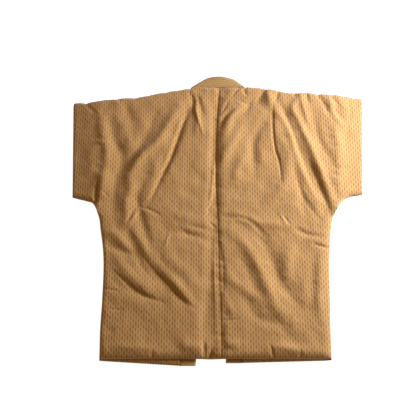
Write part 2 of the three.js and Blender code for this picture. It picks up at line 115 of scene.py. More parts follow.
# The folds of the back. height is up for a ridge and down for a trough, width is half of its
# breadth, and path is where it runs.
Fold = namedtuple("Fold", "part height width path")
FOLDS = [
    Fold("left armhole ridge", 5.8, 17, [(-334, 290), (-322, 225), (-311, 165), (-317, 85), (-325, 15)]),
    Fold("left arm trough", -4.6, 17,
         [(-310, 270), (-290, 210), (-267, 145), (-280, 85), (-285, 20), (-278, -45)]),
    Fold("left shoulder ridge", 2.5, 15, [(-290, 325), (-285, 275), (-262, 235), (-238, 180)]),
    Fold("left shoulder trough", -2.5, 14, [(-267, 330), (-255, 290), (-236, 250)]),
    Fold("trough above the long ridge", -3.3, 15, [(-178, 290), (-203, 220), (-235, 160), (-262, 130)]),
    Fold("long left ridge", 7.5, 17,
         [(-112, 315), (-138, 262), (-172, 198), (-215, 155), (-245, 95), (-236, 60)]),
    Fold("long left ridge, lower end", 4.1, 15, [(-237, 75), (-250, 25), (-248, -20), (-254, -65)]),
    Fold("ridge beside it", 2.5, 15, [(-174, 145), (-175, 105), (-188, 35)]),
    Fold("long left trough", -5, 13,
         [(-78, 330), (-93, 280), (-112, 218), (-137, 145), (-168, 75), (-192, 10)]),
    Fold("neck ridge, left", 2.5, 10, [(-63, 320), (-58, 270), (-62, 228)]),
    Fold("trough along the centre seam", -1.3, 12, [(-6, 235), (-8, 130), (-7, 40), (-3, -40)]),
    Fold("waist ridge, left", 2.5, 17, [(-150, 5), (-104, -17), (-50, -36), (-14, -30)]),
    Fold("waist trough, left", -4.1, 14, [(-200, 100), (-221, 40), (-210, -22), (-195, -65), (-180, -110)]),
    Fold("neck ridge, right", 5.8, 15, [(60, 322), (40, 282), (25, 240), (17, 195)]),
    Fold("broad ridge by the centre", 5.8, 18, [(66, 262), (42, 207), (22, 168), (8, 132)]),
    Fold("pit below the neck, right", -5, 13, [(99, 336), (76, 292)]),
    Fold("long ridge from the right shoulder", 3.8, 14,
         [(147, 362), (160, 312), (190, 258), (212, 208), (228, 160)]),
    Fold("right shoulder ridge", 4.1, 13, [(147, 362), (144, 312)]),
    Fold("right upper trough", -5, 16, [(133, 272), (104, 215), (98, 180), (102, 95)]),
    Fold("ridge below the broad one", 4.1, 16, [(77, 165), (55, 125), (45, 80)]),
    Fold("right middle ridge", 3.3, 18,
         [(168, 290), (178, 215), (198, 150), (180, 65), (140, 25), (112, 2)]),
    Fold("long right trough, upper end", -2.9, 8, [(180, 322), (200, 268), (214, 222), (229, 165)]),
    Fold("long right trough", -5.8, 13, [(219, 205), (232, 155), (253, 90), (279, 28), (296, -22)]),
    Fold("long right ridge, upper end", 4.6, 12, [(238, 346), (214, 308), (231, 262), (249, 212)]),
    Fold("long right ridge", 6.6, 14, [(236, 245), (259, 185), (289, 95), (314, 12)]),
    Fold("right shoulder trough", -3.3, 13, [(268, 326), (278, 245), (290, 190), (316, 142)]),
    Fold("right arm ridge", 3.3, 19, [(308, 326), (326, 255), (340, 182), (331, 80)]),
    Fold("right sleeve trough", -2.5, 13, [(331, 320), (346, 290), (368, 250)]),
    Fold("right waist dimple", -2.5, 18, [(115, 62), (145, 88)]),
    Fold("right side trough", -2.5, 13, [(224, 58), (230, 12), (243, -20)]),
    Fold("waist ridge, right", 3.3, 15, [(20, -6), (75, -30), (140, -43), (222, -49)]),
    Fold("left side ridge", 5, 15, [(-297, -65), (-272, -76), (-240, -112)]),
    Fold("left side trough", -3.3, 13, [(-302, -93), (-262, -114), (-226, -130)]),
    Fold("long lower left trough", -3.2, 15,
         [(-245, -62), (-222, -112), (-192, -170), (-142, -212), (-93, -258)]),
    Fold("lower left ridge", 3.3, 14, [(-238, -45), (-205, -95), (-180, -133)]),
    Fold("lower left ridge, inner end", 4.6, 15, [(-172, -142), (-120, -195), (-85, -240), (-65, -270)]),
    Fold("outer lower left ridge", 3.7, 16, [(-275, -130), (-250, -162), (-210, -204), (-162, -243)]),
    Fold("outer lower left trough", -1.7, 14, [(-292, -165), (-270, -198), (-215, -231), (-138, -257)]),
    Fold("broad ridge by the waist", 3.3, 21, [(-157, -65), (-130, -138), (-80, -183), (-50, -240)]),
    Fold("waist crease, left", -2.5, 11, [(-137, -64), (-80, -71), (-25, -87)]),
    Fold("trough by the centre, low", -3, 17, [(-35, -240), (-36, -300), (-42, -342)]),
    Fold("ridge by the centre, low", 1.2, 9, [(-12, -165), (-10, -265)]),
    Fold("hem swell, left", 3.3, 15, [(-282, -375), (-235, -370), (-170, -376)]),
    Fold("hem swell by the centre", 5, 19, [(-100, -352), (-72, -370), (-34, -366)]),
    Fold("long lower right ridge", 5.4, 18,
         [(34, -65), (76, -108), (108, -168), (132, -232), (150, -272), (190, -298)]),
    Fold("long lower right trough", -3.7, 16,
         [(56, -36), (112, -82), (142, -145), (162, -208), (200, -255), (220, -272)]),
    Fold("trough inside it", -2.1, 15, [(50, -128), (70, -157), (96, -220)]),
    Fold("ridge inside it", 3.3, 16, [(26, -165), (36, -200), (68, -223), (126, -262)]),
    Fold("lowest right trough", -3.3, 17, [(53, -220), (88, -282), (117, -302), (157, -315), (174, -342)]),
    Fold("right side swell", 4.1, 21, [(184, -112), (179, -156), (187, -200)]),
    Fold("right side hollow", -1.7, 18, [(256, -123), (247, -196), (245, -270)]),
    Fold("right edge ridge", 4.6, 16, [(270, -130), (264, -196), (260, -255), (266, -298)]),
    Fold("ridge beside the long right trough", 5, 15,
         [(198, 223), (223, 154), (244, 94), (270, 38), (296, -4)]),
    Fold("ridge by the centre, right", 3.3, 13, [(22, -255), (37, -291)]),
    Fold("hem swell, right", 3.3, 15, [(12, -366), (55, -362)]),
    Fold("hem swell, right side", 4.1, 15, [(125, -371), (165, -372), (208, -382)]),
]

# Sharper creases and small marks that lie over the folds, in the same columns
CREASES = [
    Fold("nick in the left shoulder", -2.5, 4, [(-383, 326), (-364, 307), (-348, 290)]),
    Fold("second nick in the left shoulder", -3, 4, [(-290, 346), (-280, 328)]),
    Fold("deep fold under the left arm", -8, 6, [(-332, 78), (-333, 48), (-336, 2)]),
    Fold("mark by the left arm", -1.4, 2.5, [(-314, 50), (-296, 34)]),
    Fold("sharp side of the long left ridge", -2.2, 4.5,
         [(-84, 290), (-102, 248), (-127, 164), (-151, 105), (-187, 21)]),
    Fold("crest beside it", 2, 6, [(-96, 290), (-114, 245), (-138, 165), (-162, 105), (-195, 28)]),
    Fold("small ridge below the neck, left", 3.5, 5, [(-66, 321), (-58, 280), (-42, 224)]),
    Fold("hollow beside the collar, left", -4.5, 8, [(-82, 358), (-70, 331), (-73, 290)]),
    Fold("hollow under the collar, left", -3, 7, [(-60, 352), (-52, 325), (-44, 290)]),
    Fold("ridge left of the waist", 3, 6, [(-216, 0), (-238, -40)]),
    Fold("crease left of it", -2.5, 4, [(-228, 2), (-246, -38)]),
    Fold("ridge by the centre seam", 2.5, 5, [(-10, 165), (-12, 119), (-19, 45), (-24, 4)]),
    Fold("short crease by the centre seam", -2.5, 4, [(-17, 28), (-29, -13)]),
    Fold("waist line, far left", -2.6, 5, [(-214, 8), (-185, -2), (-161, -16)]),
    Fold("waist line, left", -2.0, 7, [(-108, -56), (-85, -66), (-62, -76)]),
    Fold("waist line by the seam", -2.0, 7, [(-78, -47), (-28, -58)]),
    Fold("crease into the seam, left", -2.5, 4, [(-28, -35), (-8, -52)]),
    Fold("small ridge below the waist, left", 2, 3.5, [(-132, -68), (-141, -102)]),
    Fold("collar corner crease", -3, 4, [(43, 351), (65, 377)]),
    Fold("deep crease by the neck, right", -5, 7, [(7, 246), (20, 280), (52, 308)]),
    Fold("crease above it", -3, 4.5, [(14, 298), (31, 330)]),
    Fold("swell left of the seam at the neck", 3, 14, [(-9, 392), (-9, 325)]),
    Fold("gather by the collar", -3, 4.5, [(74, 372), (83, 348)]),
    Fold("crease below the gather", -2.5, 4, [(58, 334), (78, 324), (98, 322)]),
    Fold("dip in the right shoulder", -3.2, 9, [(136, 372), (122, 341), (102, 312)]),
    Fold("long thin crease", -4.2, 3.5, [(158, 322), (156, 252), (160, 184), (170, 142), (175, 78)]),
    Fold("bottom of the long right trough", -4.5, 8, [(252, 142), (264, 109), (288, 42), (306, -24)]),
    Fold("nick in the right shoulder", -3, 4, [(219, 366), (223, 345)]),
    Fold("nick near the right sleeve", -2.5, 4, [(286, 358), (290, 342)]),
    Fold("gather on the right shoulder", -3, 5, [(178, 366), (171, 346), (167, 328)]),
    Fold("gather above the long right trough", -3, 6, [(257, 358), (258, 340), (263, 318)]),
    Fold("ridge left of that gather", 3, 7, [(238, 356), (243, 320), (256, 263)]),
    Fold("ridge at the top of the right sleeve", 3, 8, [(320, 348), (329, 296), (353, 253)]),
    Fold("gather right of the armhole ridge", -3, 7, [(290, 350), (308, 316), (317, 284)]),
    Fold("hollow on the right sleeve", -3, 8, [(325, 356), (337, 331), (354, 305)]),
    Fold("shallow crease on the right sleeve", -1.6, 6, [(379, 341), (380, 293), (368, 238)]),
    Fold("line under the right arm", -1.6, 2.5, [(320, 31), (347, 33)]),
    Fold("slanted hollow, right of the middle", -3, 9, [(215, 104), (226, 53), (246, 10), (272, -32)]),
    Fold("crease over the lower right ridge", -3.5, 8, [(15, -22), (60, -24), (92, -40), (128, -78)]),
    Fold("small ridge at the right waist", 2, 4, [(167, -13), (182, -45)]),
    Fold("crease beside it", -2, 3.5, [(177, -20), (193, -46)]),
    Fold("waist crease, right", -3.2, 8, [(206, -54), (238, -71), (281, -80)]),
    Fold("lower waist crease, right", -3.2, 5, [(254, -99), (299, -112)]),
    Fold("bottom of the lower left trough", -2.8, 6,
         [(-276, -174), (-248, -196), (-215, -225), (-182, -243), (-145, -255)]),
    Fold("bottom of the long lower trough", -3.2, 7,
         [(-202, -130), (-169, -174), (-133, -207), (-103, -242), (-63, -271)]),
    Fold("line at the left side", -1.8, 3.5, [(-303, -219), (-257, -226)]),
    Fold("lower line at the left side", -1.4, 3.5, [(-290, -272), (-248, -276)]),
    Fold("rib along the centre seam", 1.6, 4, [(-11, -78), (-12, -160), (-9, -250), (-8, -330)]),
    Fold("crease right of the seam", -2.4, 6, [(2, -96), (9, -132), (11, -170), (11, -212), (7, -254)]),
    Fold("short level crease", -1.5, 3, [(7, -302), (50, -300)]),
    Fold("hollow down to the hem", -3, 9, [(10, -300), (9, -345), (9, -396)]),
    Fold("pucker in the hem", -5, 6, [(-39, -356), (-37, -392)]),
    Fold("notch in the hem", -6, 4.5, [(-19, -378), (-27, -400)]),
    Fold("second pucker in the hem", -2.8, 4, [(130, -366), (138, -398)]),
    Fold("third pucker in the hem", -2.5, 5, [(206, -380), (203, -399)]),
    Fold("fourth pucker in the hem", -2.5, 5, [(-168, -378), (-170, -399)]),
]
PATH_STEPS = 14  # straight stretches along a fold
FOLD_SHARPNESS = 1.4  # how steeply a fold falls off across its width
FOLD_END = 0.04  # share of a fold's length that is cut off its fade at each end

# Smaller unevenness of the padded cloth: sizes and heights in millimetres, and seeds
FOLD_CLEAR = 30.0  # folds reach full height this far in from an edge
LUMP_SIZE = 34.0
LUMP_HEIGHT = 0.9
LUMP_SEED = 11
CRUMPLE_SIZE = 11.0
CRUMPLE_HEIGHT = 0.25
CRUMPLE_SEED = 17
PUCKER_SIZE = 11.0  # along a seam
PUCKER_HEIGHT = 0.9
PUCKER_REACH = 14.0
PUCKER_FREE = 3 * PUCKER_REACH  # no puckers show this far from a seam
PUCKER_STRETCH = 0.4  # that size as a share of a pucker's length across the seam
PUCKER_SEED = 5
OUTLINE_WOBBLE = 0.9
OUTLINE_LUMP = 17.0
OUTLINE_SEED = 23
UNEVEN_REACH = 1000.0  # the unevenness covers this far each way from the middle


def lerp(start, end, share):
    return start + (end - start) * share


def smooth(value):
    share = np.clip(value, 0.0, 1.0)
    return share * share * (3.0 - 2.0 * share)


def read(table, at):
    """The table's second column at a place in its first, on a smooth curve through the rows."""
    keys, values = np.array(table, dtype=float).T
    slopes = np.gradient(values, keys)
    spans = np.diff(keys)
    row = np.clip(np.searchsorted(keys, at, side="right") - 1, 0, len(keys) - 2)
    share = np.clip((at - keys[row]) / spans[row], 0.0, 1.0)
    rest = 1.0 - share
    leave = slopes[row] * spans[row]
    arrive = slopes[row + 1] * spans[row]
    return (values[row] * rest ** 2 * (1 + 2 * share) + values[row + 1] * share ** 2 * (3 - 2 * share)
            + leave * share * rest ** 2 - arrive * share ** 2 * rest)


def curve_through(path, steps):
    """Points on a smooth curve through the path's corners."""
    corners = np.array(path, dtype=float)
    ends = [2 * corners[0] - corners[1], *corners, 2 * corners[-1] - corners[-2]]
    # The last place is a hair before the last corner, so that it still has one after it.
    places = np.linspace(0.0, len(corners) - 1.0001, steps + 1)
    points = []
    for place in places:
        first = int(place)
        share = place - first
        before, start, end, after = ends[first:first + 4]
        points.append(0.5 * (2 * start + (end - before) * share
                             + (2 * before - 5 * start + 4 * end - after) * share ** 2
                             + (3 * start - before - 3 * end + after) * share ** 3))
    return np.array(points)


def along_path(points, x, y):
    """How far each place is from a path, and where along the path it is nearest."""
    nearest = np.full(x.shape, np.inf)
    along = np.zeros(x.shape)
    last = len(points) - 1
    for step in range(last):
        start, end = points[step], points[step + 1]
        dx, dy = end - start
        share = np.clip(((x - start[0]) * dx + (y - start[1]) * dy) / (dx * dx + dy * dy), 0, 1)
        distance = np.hypot(x - start[0] - share * dx, y - start[1] - share * dy)
        closer = distance < nearest
        nearest = np.where(closer, distance, nearest)
        along = np.where(closer, (step + share) / last, along)
    return nearest, along


def relief(folds, x, y):
    """Height that the folds add: each is a soft ridge or trough that fades at its ends."""
    total = np.zeros(x.shape)
    for fold in folds:
        nearest, along = along_path(curve_through(fold.path, PATH_STEPS), x, y)
        fade = np.sqrt(np.sin(math.pi * np.clip(along, FOLD_END, 1 - FOLD_END)))
        total += fold.height * fade * np.exp(-FOLD_SHARPNESS * (nearest / fold.width) ** 2)
    return total


def unevenness(x, y, size, seed):
    """Smooth random swell of about one unit, with lumps of the given size."""
    rng = np.random.default_rng(seed)
    count = int(2 * UNEVEN_REACH / size) + 3
    knots = rng.standard_normal((count, count))
    column, row = (x + UNEVEN_REACH) / size, (y + UNEVEN_REACH) / size
    i, j = np.floor(column).astype(int), np.floor(row).astype(int)
    s, t = smooth(column - i), smooth(row - j)
    low = lerp(knots[j, i], knots[j, i + 1], s)
    high = lerp(knots[j + 1, i], knots[j + 1, i + 1], s)
    return lerp(low, high, t)


def roll(distance, reach):
    """From 0 at an edge to 1 at reach in from it, as a quarter of an ellipse."""
    share = 1.0 - np.clip(distance / reach, 0.0, 1.0)
    return np.sqrt(1.0 - share * share)


def front_edge(half, y):
    """The edge of a front, where the band is sewn on."""
    return half.sign * read(half.front_edge, y)


def band_free(half, y):
    """The free edge of the band on a front."""
    return front_edge(half, y) - half.sign * BAND_WIDTH


def sink(x, y):
    """1 halfway between the two bands, where nothing lies under the back, and 0 at them."""
    left, right = band_free(LEFT, y), band_free(RIGHT, y)
    return np.sin(math.pi * np.clip((x - left) / (right - left), 0.0, 1.0)) ** 2


def dip_beside(depth, distance, reach=SEAM_PULL):
    """How far the cloth goes down beside a seam."""
    return depth * (1.0 - smooth(distance / reach))


def back_faces(x, y, closed, open_edge, seam, dip):
    """Heights of the outer and inner face of the back.

    closed is the distance to an edge sewn to the other layer, open_edge to a hem or cuff and
    seam to the nearest seam on the back. dip is how far the cloth goes down beside the seams.
    """
    inside = PADDING + LAYER_GAP - SINK_INSIDE * sink(x, y)
    lying = smooth(np.minimum(closed, open_edge) / FOLD_CLEAR)
    near_seam = np.exp(-(seam / PUCKER_REACH) ** 2)
    pucker = PUCKER_HEIGHT * unevenness(x * PUCKER_STRETCH, y, PUCKER_SIZE, PUCKER_SEED) * near_seam
    lumps = LUMP_HEIGHT * unevenness(x, y, LUMP_SIZE, LUMP_SEED)
    crumple = CRUMPLE_HEIGHT * unevenness(x, y, CRUMPLE_SIZE, CRUMPLE_SEED)
    folds = (relief(FOLDS, x, y) + lumps + pucker) * lying + relief(CREASES, x, y) + crumple
    full = 2 * PADDING + LAYER_GAP - SINK_OUTSIDE * sink(x, y) + folds - dip
    fullness = np.maximum(RIM_SHARE, roll(closed, EDGE_ROLL) * roll(open_edge, HEM_ROLL))
    return inside + (full - inside) * fullness, inside


def front_faces(closed, open_edge):
    """Heights of the outer and inner face of a front. The outer one lies on the surface."""
    base = PADDING * (1.0 - np.maximum(RIM_SHARE, roll(closed, EDGE_ROLL)))
    middle = (PADDING + base) / 2
    fullness = np.maximum(RIM_SHARE, roll(open_edge, EDGE_ROLL / 2))
    return lerp(middle, base, fullness), lerp(middle, PADDING, fullness)


def spaced(length, size, first, last):
    """Places from 0 to length: the given ones near the ends, and even ones between."""
    starts = [0.0, *first]
    ends = [length - offset for offset in reversed(last)]
    stop = ends[0] if ends else length
    count = max(1, round((stop - starts[-1]) / size))
    middle = list(np.linspace(starts[-1], stop, count + 1)[1:-1])
    return np.array([*starts, *middle, *ends, length])


def wall(name, outer, inner, cloth_place, present=None):
    """A closed wall of cloth from grids of points on its two faces, with a rim all round.

    cloth_place is where each point lies on the woven cloth, which the weave follows.
    """
    rows, columns = outer.shape[:2]
    under = rows * columns
    index = np.arange(under).reshape(rows, columns)
    shown = np.ones((rows - 1, columns - 1), dtype=bool) if present is None else present
    a, b, c, d = index[:-1, :-1], index[:-1, 1:], index[1:, 1:], index[1:, :-1]
    top = np.stack([a, b, c, d], axis=-1)[shown]
    bottom = np.stack([a, d, c, b], axis=-1)[shown] + under
    framed = np.pad(shown, 1)
    rims = []
    for beside, start, end in (
            (framed[:-2, 1:-1], a, b), (framed[1:-1, 2:], b, c), (framed[2:, 1:-1], c, d),
            (framed[1:-1, :-2], d, a)):
        edge = shown & ~beside
        rims.append(np.stack([start, start + under, end + under, end], axis=-1)[edge])
    faces = np.concatenate([top, bottom, *rims])
    points = np.concatenate([outer.reshape(-1, 3), inner.reshape(-1, 3)])
    places = np.concatenate([cloth_place.reshape(-1, 2)] * 2)
    used = np.unique(faces)
    renumbered = np.zeros(len(points), dtype=int)
    renumbered[used] = np.arange(len(used))
    points, places, faces = points[used] * MM, places[used] * MM, renumbered[faces]
    corners = points[faces[:, :3]]
    volume = np.einsum("ij,ij->i", corners[:, 0], np.cross(corners[:, 1], corners[:, 2])).sum()
    if volume < 0:
        faces = faces[:, ::-1]
    mesh = bpy.data.meshes.new(name)
    mesh.from_pydata(points.tolist(), [], faces.tolist())
    smooth_faces = np.arange(len(faces)) < len(top) + len(bottom)
    mesh.polygons.foreach_set("use_smooth", smooth_faces)
    woven = mesh.attributes.new("cloth_place", "FLOAT_VECTOR", "POINT")
    woven.data.foreach_set("vector", np.column_stack([places, np.zeros(len(places))]).ravel())
    piece = bpy.data.objects.new(name, mesh)
    bpy.context.scene.collection.objects.link(piece)
    return piece


# Nicks in the shoulder line, where a crease runs over it
Nick = namedtuple("Nick", "x depth width")
NICKS = [
    Nick(-381, 3.5, 7), Nick(-291, 3.0, 6), Nick(-240, 1.2, 9), Nick(107, 1.5, 6), Nick(140, 2.5, 8),
    Nick(229, 3.0, 8), Nick(287, 2.5, 6), Nick(326, 1.5, 6)]


def wobble(place):
    """The unevenness and the nicks of the shoulder line, at each place along it."""
    uneven = OUTLINE_WOBBLE * unevenness(place, np.zeros(np.shape(place)), OUTLINE_LUMP, OUTLINE_SEED)
    return uneven - sum(nick.depth * np.exp(-((place - nick.x) / nick.width) ** 2) for nick in NICKS)


def shoulder_y(half, reach):
    """Where the cloth starts to round over the shoulder."""
    return read(half.shoulder, reach) - SHOULDER_ROLL + wobble(half.sign * reach)


def shoulder_round(outer_top, lowered=1.0):
    """Rows of points round the shoulder fold, from the back's last row over to the front.

    The last of the three results is how far round the fold the cloth has come at each row.
    """
    x, y, top = outer_top[:, 0], outer_top[:, 1], outer_top[:, 2]
    pivot = PADDING + LAYER_GAP / 2
    outer, inner, travel = [], [], []
    for step in range(1, FOLD_STEPS):
        angle = math.pi * (0.5 - step / FOLD_STEPS)
        out, up = math.cos(angle), math.sin(angle)
        outer.append(np.stack([x, y + SHOULDER_ROLL * out, top / 2 * (1 + up)], axis=-1))
        height = np.full(x.shape, pivot + LAYER_GAP / 2 * up) * lowered
        inner.append(np.stack([x, y + INNER_ROLL * out, height], axis=-1))
        travel.append(np.full(x.shape, SHOULDER_TRAVEL * step / FOLD_STEPS))
    return np.array(outer), np.array(inner), np.array(travel)


def grid(x, y, heights, lowered=1.0):
    """Points of the two faces, from where they lie and the heights of both."""
    outer, inner = heights
    return np.stack([x, y, outer * lowered], axis=-1), np.stack([x, y, inner * lowered], axis=-1)


def body_panel(name, half):
    """One length of cloth: up the back from the hem, over the shoulder and down the front."""
    sign, neck = half.sign, half.neck_reach
    widest = half.armhole[0]
    inward = spaced(neck, FINE, SEAMED, [NECK_CORNER])
    outward = spaced(widest - neck, FINE, [], ROLLED)
    neck_column = len(inward) - 1
    reach = np.concatenate([inward, neck + outward[1:]])
    beside_neck = np.arange(len(reach)) < neck_column
    share = (reach - neck) / (widest - neck)

    def side_reach(y):
        """How far out the cloth reaches: to the side seam, or to the armhole above the underarm."""
        armhole = lerp(*half.armhole, (y - half.underarm) / (NECK_LINE - half.underarm))
        return np.where(y > half.underarm, armhole, read(half.side, y)) - SEAM_GAP / 2

    def opened(y):
        """0 where the side is sewn to the front, and 1 along the armhole, where it is open."""
        return smooth((y - half.underarm + UNDERARM_BELOW) / UNDERARM_FADE)

    def back(rise):
        row_top = np.where(beside_neck, NECK_LINE - SEAM_GAP / 2, shoulder_y(half, reach))
        y = lerp(HEM_LINE, row_top, rise[:, None] / BACK_LENGTH)
        centre = read(CENTRE_SEAM, y) + sign * SEAM_GAP / 2
        inner_x = lerp(centre, sign * neck, reach / neck)
        outer_x = lerp(sign * neck, sign * side_reach(y), share)
        x = np.where(reach < neck, inner_x, outer_x)
        side = side_reach(y) - np.abs(x)
        neck_seam = np.where(np.arange(len(reach)) <= neck_column, row_top - y, np.inf)
        armhole_share = opened(y)
        centre_seam = np.abs(x - centre)
        armhole = side + (1 - armhole_share) * PUCKER_FREE
        seam = np.minimum(np.minimum(centre_seam, neck_seam), armhole)
        dip = np.maximum(dip_beside(half.seam_dip, centre_seam), dip_beside(NECK_DIP, neck_seam))
        dip = dip + dip_beside(ARMHOLE_DIP, armhole, ARMHOLE_PULL)
        closed = side * EDGE_ROLL / half.side_roll + armhole_share * FOLD_CLEAR
        return x, y, back_faces(x, y, closed, y - HEM_LINE, seam, dip)

    def front(rise):
        bottom = lerp(half.front_hem[1], half.front_hem[0], np.clip(share, 0, 1))
        y = lerp(bottom, shoulder_y(half, np.maximum(reach, neck)), rise[:, None] / BACK_LENGTH)
        edge = front_edge(half, y) + sign * SEAM_GAP / 2
        x = lerp(edge, sign * side_reach(y), np.clip(share, 0, 1))
        side = side_reach(y) - np.abs(x)
        return x, y, front_faces(side + opened(y) * EDGE_ROLL, y - bottom)

    back_x, back_y, back_heights = back(spaced(BACK_LENGTH, FINE, ROLLED, SEAMED))
    back_outer, back_inner = grid(back_x, back_y, back_heights)
    fold_outer, fold_inner, travel = shoulder_round(back_outer[-1])
    front_x, front_y, front_heights = front(spaced(BACK_LENGTH, HIDDEN, ROLLED, FRONT_TOP)[::-1])
    front_outer, front_inner = grid(front_x, front_y, front_heights)
    outer = np.concatenate([back_outer, fold_outer, front_outer])
    inner = np.concatenate([back_inner, fold_inner, front_inner])
    lengthwise = np.concatenate([
        back_y, back_y[-1] + travel, back_y[-1] + SHOULDER_TRAVEL + front_y[0] - front_y])
    place = np.stack([outer[..., 0], lengthwise], axis=-1)
    present = np.ones((len(outer) - 1, len(reach) - 1), dtype=bool)
    present[len(back_outer) - 1:, :neck_column] = False
    return wall(name, outer, inner, place, present)


def sleeve_panel(name, half):
    """A sleeve: folded along the top, sewn below, open at the cuff and at the armhole."""
    start = half.armhole[0]
    width = half.cuff[0] - start
    along = spaced(width, FINE, SEAMED, ROLLED) / width
    depth = float(read(half.shoulder, start)) - half.underarm

    def rows(rise):
        low = read(half.sleeve_bottom, along)
        high = shoulder_y(half, lerp(start, half.cuff[1], along))
        y = lerp(low, high, rise[:, None] / depth)
        climb = np.clip((y - half.underarm) / (NECK_LINE - half.underarm), 0, 1)
        arm = lerp(*half.armhole, climb) + SEAM_GAP / 2
        cuff = lerp(*half.cuff, np.clip((y - half.underarm) / depth, 0, 1))
        reach = lerp(arm, cuff, along)
        return half.sign * reach, y, y - low, cuff - reach, reach - arm

    lowered = lerp(1.0, CUFF_HEIGHT, smooth(along))
    x, y, closed, open_edge, armhole = rows(spaced(depth, FINE, ROLLED, []))
    dip = dip_beside(ARMHOLE_DIP, armhole, ARMHOLE_PULL)
    heights = back_faces(x, y, closed, open_edge * HEM_ROLL / CUFF_ROLL, armhole, dip)
    back_outer, back_inner = grid(x, y, heights, lowered)
    fold_outer, fold_inner, travel = shoulder_round(back_outer[-1], lowered)
    below_x, below_y, closed, open_edge, _ = rows(spaced(depth, HIDDEN, ROLLED, [])[::-1])
    front_outer, front_inner = grid(below_x, below_y, front_faces(closed, open_edge), lowered)
    outer = np.concatenate([back_outer, fold_outer, front_outer])
    inner = np.concatenate([back_inner, fold_inner, front_inner])
    lengthwise = np.concatenate([
        y, y[-1] + travel, y[-1] + SHOULDER_TRAVEL + below_y[0] - below_y])
    return wall(name, outer, inner, np.stack([outer[..., 0], lengthwise], axis=-1))


# The collar band turns over each shoulder and stands out past the neck seam in a low arch. seam and
# free are where its two edges lie halfway round a turn.
BandTurn = namedtuple("BandTurn", "seam free")
LEFT_TURN = BandTurn(seam=(-74, 369), free=(-25, 402))
RIGHT_TURN = BandTurn(seam=(77, 370), free=(41, 400))
ARCH_LEFT_Y = 411.0  # the arch's free edge at its left end
ARCH_RIGHT_Y = 407.0  # and at its right end
ARCH_RISE = 4.0  # how much further out that edge lies in the middle
ARCH_CROWN = 4.0  # and how much higher
TURN_STEPS = 14
ARCH_STEPS = 40
TURN_RADIUS = (PADDING + LAYER_GAP) / 2
TURN_HEIGHT = BAND_PADDING / 2 + TURN_RADIUS
SETTLE = (0.12, 0.25, 0.42, 0.6, 0.8)  # steps from a turn to the arch
SETTLE_LEAD = 0.2  # the band lies flat this much of the way before the arch


def collar_band(name):
    """One long band: up the left front, over beside the neck, along the neck seam and back down.

    Each stop has a point on the seam and one on the free edge, how far round the band has turned
    and how much higher its free edge lies.
    """
    across = spaced(BAND_WIDTH, FINE, BAND_ROLLED, BAND_ROLLED) / BAND_WIDTH
    stops = []

    def add(seam, free, angle, lift=0.0):
        stops.append((np.array(seam, dtype=float), np.array(free, dtype=float), angle, lift))

    def front_stops(half):
        rises = spaced(BACK_LENGTH, HIDDEN, BAND_END, [])
        top = float(shoulder_y(half, half.neck_reach))
        for y in lerp(half.front_hem[1], top, rises / BACK_LENGTH):
            if y < NECK_LINE - BAND_TURN_DEPTH:
                edge = float(front_edge(half, y))
                yield (edge - half.sign * SEAM_GAP / 2, y), (edge - half.sign * BAND_WIDTH, y), 0.0

    def half_stops(half, turn):
        fronts = list(front_stops(half))
        seam, free, _ = (np.array(value) for value in fronts[-1])
        turned = []
        for step in range(1, TURN_STEPS + 1):
            share = step / TURN_STEPS
            turned.append((lerp(seam, np.array(turn.seam), smooth(share)),
                           lerp(free, np.array(turn.free), smooth(share)), math.pi / 2 * share ** 2))
        return fronts + turned

    def arch(share):
        free_y = lerp(ARCH_LEFT_Y, ARCH_RIGHT_Y, share) + ARCH_RISE * math.sin(math.pi * share)
        return ((lerp(LEFT_TURN.seam[0], RIGHT_TURN.seam[0], share), NECK_LINE),
                (lerp(LEFT_TURN.free[0], RIGHT_TURN.free[0], share), free_y))

    def settle(turn, end, order):
        for share in order:
            angle = math.pi / 2 * (1 + smooth(share + SETTLE_LEAD))
            add(lerp(np.array(turn.seam), np.array(end[0]), share),
                lerp(np.array(turn.free), np.array(end[1]), share), angle)

    for stop in half_stops(LEFT, LEFT_TURN):
        add(*stop)
    settle(LEFT_TURN, arch(0.0), SETTLE)
    for share in np.linspace(0.0, 1.0, ARCH_STEPS + 1):
        add(*arch(share), math.pi, ARCH_CROWN * math.sin(math.pi * share))
    settle(RIGHT_TURN, arch(1.0), SETTLE[::-1])
    for stop in half_stops(RIGHT, RIGHT_TURN)[::-1]:
        add(*stop)

    outer, inner = [], []
    from_seam = across * BAND_WIDTH
    at_seam = roll(from_seam + BAND_SEAM_OFFSET, BAND_ROLL)
    at_free_edge = roll(BAND_WIDTH - from_seam, BAND_ROLL)
    thick = BAND_PADDING / 2 * np.maximum(BAND_RIM_SHARE, np.minimum(at_seam, at_free_edge))
    for seam, free, angle, lift in stops:
        dx, dy = free - seam
        length = math.hypot(dx, dy)
        inward = 1 if seam[0] < 0 else -1
        away_x, away_y = -dy / length * inward, dx / length * inward
        for face, sign in ((outer, 1), (inner, -1)):
            offset = TURN_RADIUS + sign * thick
            out, up = math.sin(angle) * offset, -math.cos(angle) * offset
            face.append(np.stack([seam[0] + dx * across + away_x * out,
                                  seam[1] + dy * across + away_y * out,
                                  TURN_HEIGHT + up + lift * across], axis=-1))
    middles = np.array([(seam + free) / 2 for seam, free, _, _ in stops])
    travel = np.concatenate([[0], np.cumsum(np.hypot(*np.diff(middles, axis=0).T))])
    place = np.stack(np.broadcast_arrays(from_seam[None, :], travel[:, None]), axis=-1)
    return wall(name, np.array(outer), np.array(inner), place)


